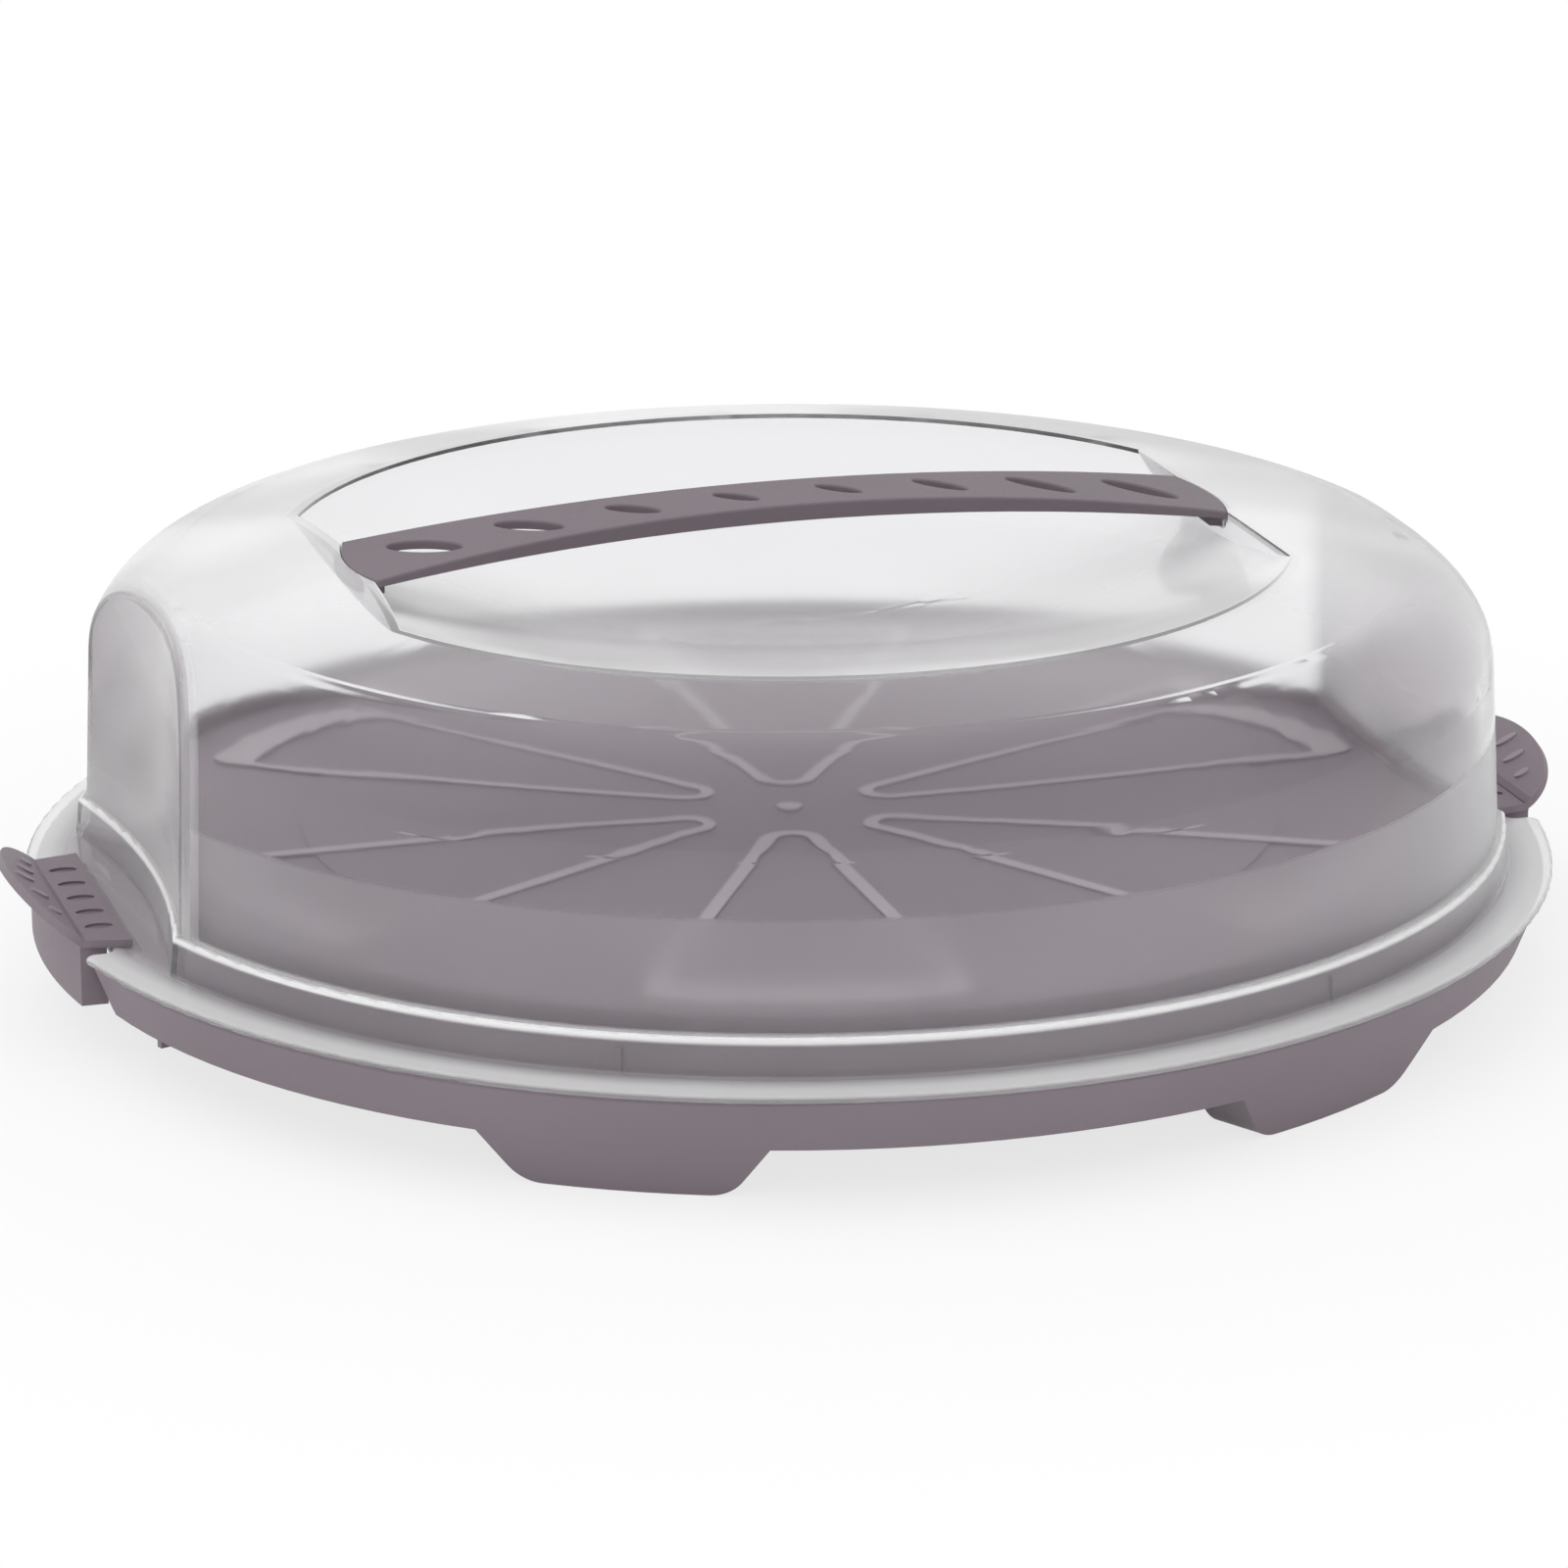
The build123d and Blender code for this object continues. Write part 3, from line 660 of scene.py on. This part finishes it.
    # Lamps shine through it without being bent, so that the cake floor isn't in its shadow
    paths = add_node(tree, "ShaderNodeLightPath")
    through = add_node(tree, "ShaderNodeBsdfTransparent", {"Color": linear(shade_tint)})
    lit = add_node(
        tree,
        "ShaderNodeMixShader",
        {0: paths.outputs["Is Shadow Ray"], 1: moulding.outputs["Shader"], 2: through.outputs["BSDF"]},
    )
    tree.links.new(lit.outputs["Shader"], output.inputs["Surface"])
    return material


def white_floor(name, studio):
    """Matt pale floor that keeps a soft shadow near the keeper and turns into white background around it."""
    material, tree, output = new_material(name)
    place = add_node(tree, "ShaderNodeTexCoord").outputs["Object"]
    away = add_node(tree, "ShaderNodeVectorMath", {0: place}, operation="LENGTH")
    fade = add_node(
        tree,
        "ShaderNodeMapRange",
        {
            "Value": away.outputs["Value"],
            "From Min": studio.shadow_radius,
            "From Max": studio.white_radius,
            "To Min": studio.floor_white,
        },
        interpolation_type="SMOOTHSTEP",
    )
    paths = add_node(tree, "ShaderNodeLightPath")
    seen = add_node(
        tree,
        "ShaderNodeMath",
        {0: paths.outputs["Is Camera Ray"], 1: paths.outputs["Is Transmission Ray"]},
        operation="ADD",
    )
    seen = add_node(
        tree,
        "ShaderNodeMath",
        {0: seen.outputs["Value"], 1: paths.outputs["Is Glossy Ray"]},
        operation="ADD",
        use_clamp=True,
    )
    white = add_node(
        tree,
        "ShaderNodeMath",
        {0: seen.outputs["Value"], 1: fade.outputs["Result"]},
        operation="MULTIPLY",
    )
    matt = add_node(tree, "ShaderNodeBsdfDiffuse", {"Color": linear(studio.floor_colour)})
    glow = add_node(tree, "ShaderNodeEmission", {"Color": (1, 1, 1, 1), "Strength": 1.0})
    mix = add_node(
        tree,
        "ShaderNodeMixShader",
        {0: white.outputs["Value"], 1: matt.outputs["BSDF"], 2: glow.outputs["Emission"]},
    )
    tree.links.new(mix.outputs["Shader"], output.inputs["Surface"])
    return material


def studio_world(scene, studio):
    """Even studio light, which the camera and clear plastic see as a white backdrop.

    Gloss sees the backdrop low behind the keeper white, and the dimmer studio above it and in front of it.
    """
    world = bpy.data.worlds.new("studio")
    scene.world = world
    world.use_nodes = True
    tree = world.node_tree
    tree.nodes.clear()
    output = add_node(tree, "ShaderNodeOutputWorld")
    paths = add_node(tree, "ShaderNodeLightPath")
    seen = add_node(
        tree,
        "ShaderNodeMath",
        {0: paths.outputs["Is Camera Ray"], 1: paths.outputs["Is Transmission Ray"]},
        operation="ADD",
        use_clamp=True,
    )
    towards = add_node(tree, "ShaderNodeTexCoord").outputs["Generated"]
    axes = add_node(tree, "ShaderNodeSeparateXYZ", {"Vector": towards})
    level = add_node(
        tree,
        "ShaderNodeMapRange",
        {
            "Value": axes.outputs["Y"],
            "From Min": front_end,
            "From Max": backdrop_start,
            "To Min": studio.front_gloss - studio.world_grey,
            "To Max": 1.0 - studio.world_grey,
        },
        interpolation_type="SMOOTHSTEP",
    )
    high = add_node(
        tree,
        "ShaderNodeMapRange",
        {
            "Value": axes.outputs["Z"],
            "From Min": backdrop_top,
            "From Max": ceiling_start,
            "To Min": 0.0,
            "To Max": studio.top_gloss - 1.0,
        },
        interpolation_type="SMOOTHSTEP",
    )
    dimmed = add_node(
        tree,
        "ShaderNodeMath",
        {0: level.outputs["Result"], 1: high.outputs["Result"]},
        operation="ADD",
    )
    gloss = add_node(
        tree,
        "ShaderNodeMath",
        {0: dimmed.outputs["Value"], 1: studio.front_gloss - studio.world_grey},
        operation="MAXIMUM",
    )
    base = add_node(
        tree,
        "ShaderNodeMath",
        {0: paths.outputs["Is Glossy Ray"], 1: gloss.outputs["Value"], 2: studio.world_grey},
        operation="MULTIPLY_ADD",
    )
    strength = add_node(
        tree,
        "ShaderNodeMapRange",
        {"Value": seen.outputs["Value"], "To Min": base.outputs["Value"], "To Max": 1.0},
    )
    light = add_node(
        tree,
        "ShaderNodeBackground",
        {"Color": (1, 1, 1, 1), "Strength": strength.outputs["Result"]},
    )
    tree.links.new(light.outputs["Background"], output.inputs["Surface"])


class KeeperFinish(bpy.types.PropertyGroup):
    """Colours and finishes of the mouldings."""

    mauve: StringProperty(
        name="Mauve", description="sRGB colour of the base and the clips", default="#877C84"
    )
    handle_mauve: StringProperty(
        name="Handle mauve", description="sRGB colour of the handle, a separate batch", default="#7B7178"
    )
    # Painted highlight: the raised lines of the cake floor are drawn lighter than the mauve
    line_highlight_colour: StringProperty(
        name="Lines", description="sRGB colour of the raised lines on the cake floor", default="#ADA4AA"
    )
    # Painted light: the thumb flaps are drawn lighter than the mauve, to lift the shade they lie in beside
    # the dome
    flap_light_colour: StringProperty(
        name="Flaps",
        description="sRGB colour of the thumb flaps, where thumbs have polished them",
        default="#998E96",
    )
    # Painted highlight: the raised grips are drawn lighter still, which also lifts the shade on their walls
    grip_highlight_colour: StringProperty(
        name="Grips", description="sRGB colour of the raised grips on the thumb flaps", default="#B0A6AD"
    )
    # Painted shade: the floors of the dimples are drawn darker than the mauve
    dimple_shade_colour: StringProperty(
        name="Dimples", description="sRGB colour of the dimples along the clips", default="#7C7279"
    )
    satin_roughness: FloatProperty(
        name="Satin", description="Roughness of the mauve mouldings", default=0.55, subtype="FACTOR"
    )
    clear_roughness: FloatProperty(
        name="Polish", description="Roughness of the clear dome", default=0.06, subtype="FACTOR"
    )
    frost_roughness: FloatProperty(
        name="Frost",
        description="Roughness of the frosted part of the dome's wall",
        default=0.4,
        subtype="FACTOR",
    )
    recess_roughness: FloatProperty(
        name="Recess frost",
        description="Roughness of the hollow in each side",
        default=0.16,
        subtype="FACTOR",
    )
    recess_tint: StringProperty(
        name="Recess tint",
        description="sRGB colour of light that has passed the recess wall",
        default="#BCB6BA",
    )
    frost_haze: FloatProperty(
        name="Frost haze",
        description="Share of light that the frosted wall scatters",
        default=0.03,
        subtype="FACTOR",
    )
    haze_colour: StringProperty(
        name="Haze colour", description="sRGB colour of the palest cloudy plastic", default="#ECEBEC"
    )
    dull_haze_colour: StringProperty(
        name="Dull haze", description="sRGB colour of the dullest cloudy plastic", default="#D2D1D2"
    )
    haze_start: FloatProperty(
        name="Haze start",
        description="Turn away from the eye at which haze starts",
        default=0.52,
        subtype="FACTOR",
    )
    haze_full: FloatProperty(
        name="Haze full",
        description="Turn away from the eye at which haze is full",
        default=0.92,
        subtype="FACTOR",
    )
    clear_haze: FloatProperty(
        name="Clear haze",
        description="Cloudiness seen straight through the dome",
        default=0.005,
        subtype="FACTOR",
    )
    # Painted light: a pale haze over the skirt and the flange that lifts the shade under the dome's foot
    skirt_painted_light: FloatProperty(
        name="Skirt haze",
        description="Cloudiness of the skirt and the flange",
        default=0.045,
        subtype="FACTOR",
    )
    recess_haze: FloatProperty(
        name="Recess haze",
        description="Cloudiness at the foot of each hollow",
        default=0.3,
        subtype="FACTOR",
    )
    wall_haze: FloatProperty(
        name="Wall haze",
        description="Cloudiness seen along the dome's wall",
        default=0.05,
        subtype="FACTOR",
    )
    crown_haze: FloatProperty(
        name="Crown haze",
        description="Cloudiness seen along the dome's crown",
        default=0.85,
        subtype="FACTOR",
    )
    # Painted highlight: the near white that the ledge and the flange's rim are drawn in
    edge_highlight_colour: StringProperty(
        name="Edge colour",
        description="sRGB colour of the edges that light comes out of",
        default="#F3F3F3",
    )
    # Painted highlight: how much of that near white the sharp edges and the rims get
    edge_highlight_share: FloatProperty(
        name="Edge haze",
        description="Share of milky plastic at the sharp edges",
        default=0.63,
        subtype="FACTOR",
    )
    # Painted highlight: the share of it that the rim of each hollow gets
    recess_rim_highlight_share: FloatProperty(
        name="Recess rim haze",
        description="Milky share of the recess's rim, as a part of that of the sharp edges",
        default=0.35,
        subtype="FACTOR",
    )
    frost_bottom: FloatProperty(
        name="Frost bottom", description="Where the frosted wall starts", default=0.034, unit="LENGTH"
    )
    frost_top: FloatProperty(
        name="Frost top", description="Where the frosted wall ends", default=0.058, unit="LENGTH"
    )


class KeeperStudio(bpy.types.PropertyGroup):
    """Camera, floor and lamps."""

    azimuth: FloatProperty(
        name="Azimuth",
        description="Turn of the camera about the keeper",
        default=math.radians(-16.66),
        unit="ROTATION",
    )
    elevation: FloatProperty(
        name="Elevation",
        description="Height of the camera as an angle",
        default=math.radians(16.741),
        unit="ROTATION",
    )
    roll: FloatProperty(
        name="Roll", description="Lean of the picture", default=math.radians(-0.18), unit="ROTATION"
    )
    distance: FloatProperty(
        name="Distance",
        description="From the camera to the middle of the keeper",
        default=1.5049,
        unit="LENGTH",
    )
    target_height: FloatProperty(
        name="Target height", description="Height that the camera looks at", default=0.05, unit="LENGTH"
    )
    lens: FloatProperty(name="Lens", description="Focal length in millimetres", default=153.3)
    shift_x: FloatProperty(
        name="Shift across", description="Sideways shift of the picture", default=-0.00275
    )
    shift_y: FloatProperty(name="Shift up", description="Upward shift of the picture", default=-0.031)
    world_grey: FloatProperty(name="Fill", description="Strength of the even studio light", default=0.9)
    front_gloss: FloatProperty(name="Front", description="Brightness that gloss sees in front", default=0.25)
    top_gloss: FloatProperty(name="Top", description="Brightness that gloss sees overhead", default=0.35)
    key_strength: FloatProperty(
        name="Key", description="Power of the overhead softbox in watts", default=5.0
    )
    side_strength: FloatProperty(
        name="Side", description="Power of the side softbox in watts", default=2.0
    )
    floor_colour: StringProperty(
        name="Floor", description="sRGB colour of the matt floor", default="#F2F2F2"
    )
    floor_white: FloatProperty(
        name="Floor white",
        description="How far the floor is already white background at the keeper",
        default=0.76,
        subtype="FACTOR",
    )
    shadow_radius: FloatProperty(
        name="Shadow radius",
        description="How far out the floor starts to fade into the background",
        default=0.19,
        unit="LENGTH",
    )
    white_radius: FloatProperty(
        name="White radius",
        description="How far out the floor has become the background",
        default=0.36,
        unit="LENGTH",
    )


def dress(node, material):
    """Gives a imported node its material; the node itself stays as it is."""
    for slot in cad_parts[node].material_slots:
        slot.material = material


def softbox(scene, name, place, target, size, watts):
    """A rectangular area lamp that looks at a point."""
    data = bpy.data.lights.new(name, "AREA")
    data.shape = "RECTANGLE"
    data.size, data.size_y = size
    data.energy = watts
    lamp = bpy.data.objects.new(name, data)
    lamp.location = place
    lamp.rotation_euler = (Vector(target) - Vector(place)).to_track_quat("-Z", "Y").to_euler()
    lamp.visible_glossy = False
    lamp.visible_transmission = False
    scene.collection.objects.link(lamp)


class KEEPER_OT_base(bpy.types.Operator):
    """Finish the base plate"""

    bl_idname = "keeper.base"
    bl_label = "Base plate"

    def execute(self, context):
        keeper = context.scene.keeper_finish
        # The raised lines get a painted highlight, a lighter colour over their tops and sides
        details = ((raised_lines, keeper.line_highlight_colour),)
        finish = moulded_polypropylene(
            "mauve polypropylene base", keeper.mauve, keeper.satin_roughness, details
        )
        dress("base_plate", finish)
        return {"FINISHED"}


class KEEPER_OT_handle(bpy.types.Operator):
    """Finish the carry handle"""

    bl_idname = "keeper.handle"
    bl_label = "Carry handle"

    def execute(self, context):
        keeper = context.scene.keeper_finish
        finish = moulded_polypropylene(
            "mauve polypropylene handle", keeper.handle_mauve, keeper.satin_roughness
        )
        dress("carry_handle", finish)
        return {"FINISHED"}


class KEEPER_OT_clips(bpy.types.Operator):
    """Finish the two clips"""

    bl_idname = "keeper.clips"
    bl_label = "Clips"

    def execute(self, context):
        keeper = context.scene.keeper_finish
        details = (
            # Painted light on the thumb flaps
            (flap_faces, keeper.flap_light_colour),
            # Painted highlight on the raised grips
            (flap_grips, keeper.grip_highlight_colour),
            # Painted shade on the floors of the dimples
            (clip_dimples, keeper.dimple_shade_colour),
        )
        finish = moulded_polypropylene(
            "mauve polypropylene clips", keeper.mauve, keeper.satin_roughness, details
        )
        for node in ("clip_left", "clip_right"):
            dress(node, finish)
        return {"FINISHED"}


class KEEPER_OT_dome(bpy.types.Operator):
    """Finish the clear dome"""

    bl_idname = "keeper.dome"
    bl_label = "Dome"

    def execute(self, context):
        dress("dome", clear_polypropylene("clear moulded polypropylene", context.scene.keeper_finish))
        return {"FINISHED"}


class KEEPER_OT_studio(bpy.types.Operator):
    """Set up the camera, the pale floor and the soft light"""

    bl_idname = "keeper.studio"
    bl_label = "Studio"

    def execute(self, context):
        scene = context.scene
        studio = scene.keeper_studio
        scene.view_settings.view_transform = "Standard"
        studio_world(scene, studio)

        mesh = bpy.data.meshes.new("floor")
        corners = [
            (-floor_half, -floor_half, floor_level),
            (floor_half, -floor_half, floor_level),
            (floor_half, floor_half, floor_level),
            (-floor_half, floor_half, floor_level),
        ]
        mesh.from_pydata(corners, [], [(0, 1, 2, 3)])
        floor = bpy.data.objects.new("floor", mesh)
        floor.data.materials.append(white_floor("matt white floor", studio))
        scene.collection.objects.link(floor)

        middle = (0, 0, studio.target_height)
        softbox(scene, "overhead softbox", overhead_place, middle, overhead_size, studio.key_strength)
        softbox(scene, "side softbox", side_place, middle, side_size, studio.side_strength)

        turn, rise = studio.azimuth, studio.elevation
        back = Vector((math.sin(turn) * math.cos(rise), -math.cos(turn) * math.cos(rise), math.sin(rise)))
        data = bpy.data.cameras.new("camera")
        data.lens = studio.lens
        data.sensor_width = sensor_width
        data.shift_x, data.shift_y = studio.shift_x, studio.shift_y
        camera = bpy.data.objects.new("camera", data)
        camera.location = Vector(middle) + back * studio.distance
        facing = (-back).to_track_quat("-Z", "Y").to_matrix()
        camera.rotation_euler = (facing @ Matrix.Rotation(studio.roll, 3, "Z")).to_euler()
        scene.collection.objects.link(camera)
        scene.camera = camera
        return {"FINISHED"}


class KEEPER_PT_panel(bpy.types.Panel):
    """Lists the steps that finish the keeper"""

    bl_label = "Cake keeper"
    bl_idname = "KEEPER_PT_panel"
    bl_space_type = "VIEW_3D"
    bl_region_type = "UI"
    bl_category = "Keeper"

    def draw(self, context):
        layout = self.layout
        for operator in STEPS:
            layout.operator(operator.bl_idname)
        for group in (context.scene.keeper_finish, context.scene.keeper_studio):
            for name in group.__annotations__:
                layout.prop(group, name)


STEPS = (KEEPER_OT_studio, KEEPER_OT_base, KEEPER_OT_dome, KEEPER_OT_handle, KEEPER_OT_clips)
CLASSES = (KeeperFinish, KeeperStudio, *STEPS, KEEPER_PT_panel)


def register():
    """Adds the keeper's properties, steps and panel to Blender."""
    for each in CLASSES:
        bpy.utils.register_class(each)
    bpy.types.Scene.keeper_finish = PointerProperty(type=KeeperFinish)
    bpy.types.Scene.keeper_studio = PointerProperty(type=KeeperStudio)


def unregister():
    """Takes them out again."""
    del bpy.types.Scene.keeper_studio
    del bpy.types.Scene.keeper_finish
    for each in reversed(CLASSES):
        bpy.utils.unregister_class(each)


def main():
    """Registers the add-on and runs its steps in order."""
    register()
    bpy.ops.keeper.studio()
    bpy.ops.keeper.base()
    bpy.ops.keeper.dome()
    bpy.ops.keeper.handle()
    bpy.ops.keeper.clips()


if __name__ == "__main__":
    main()
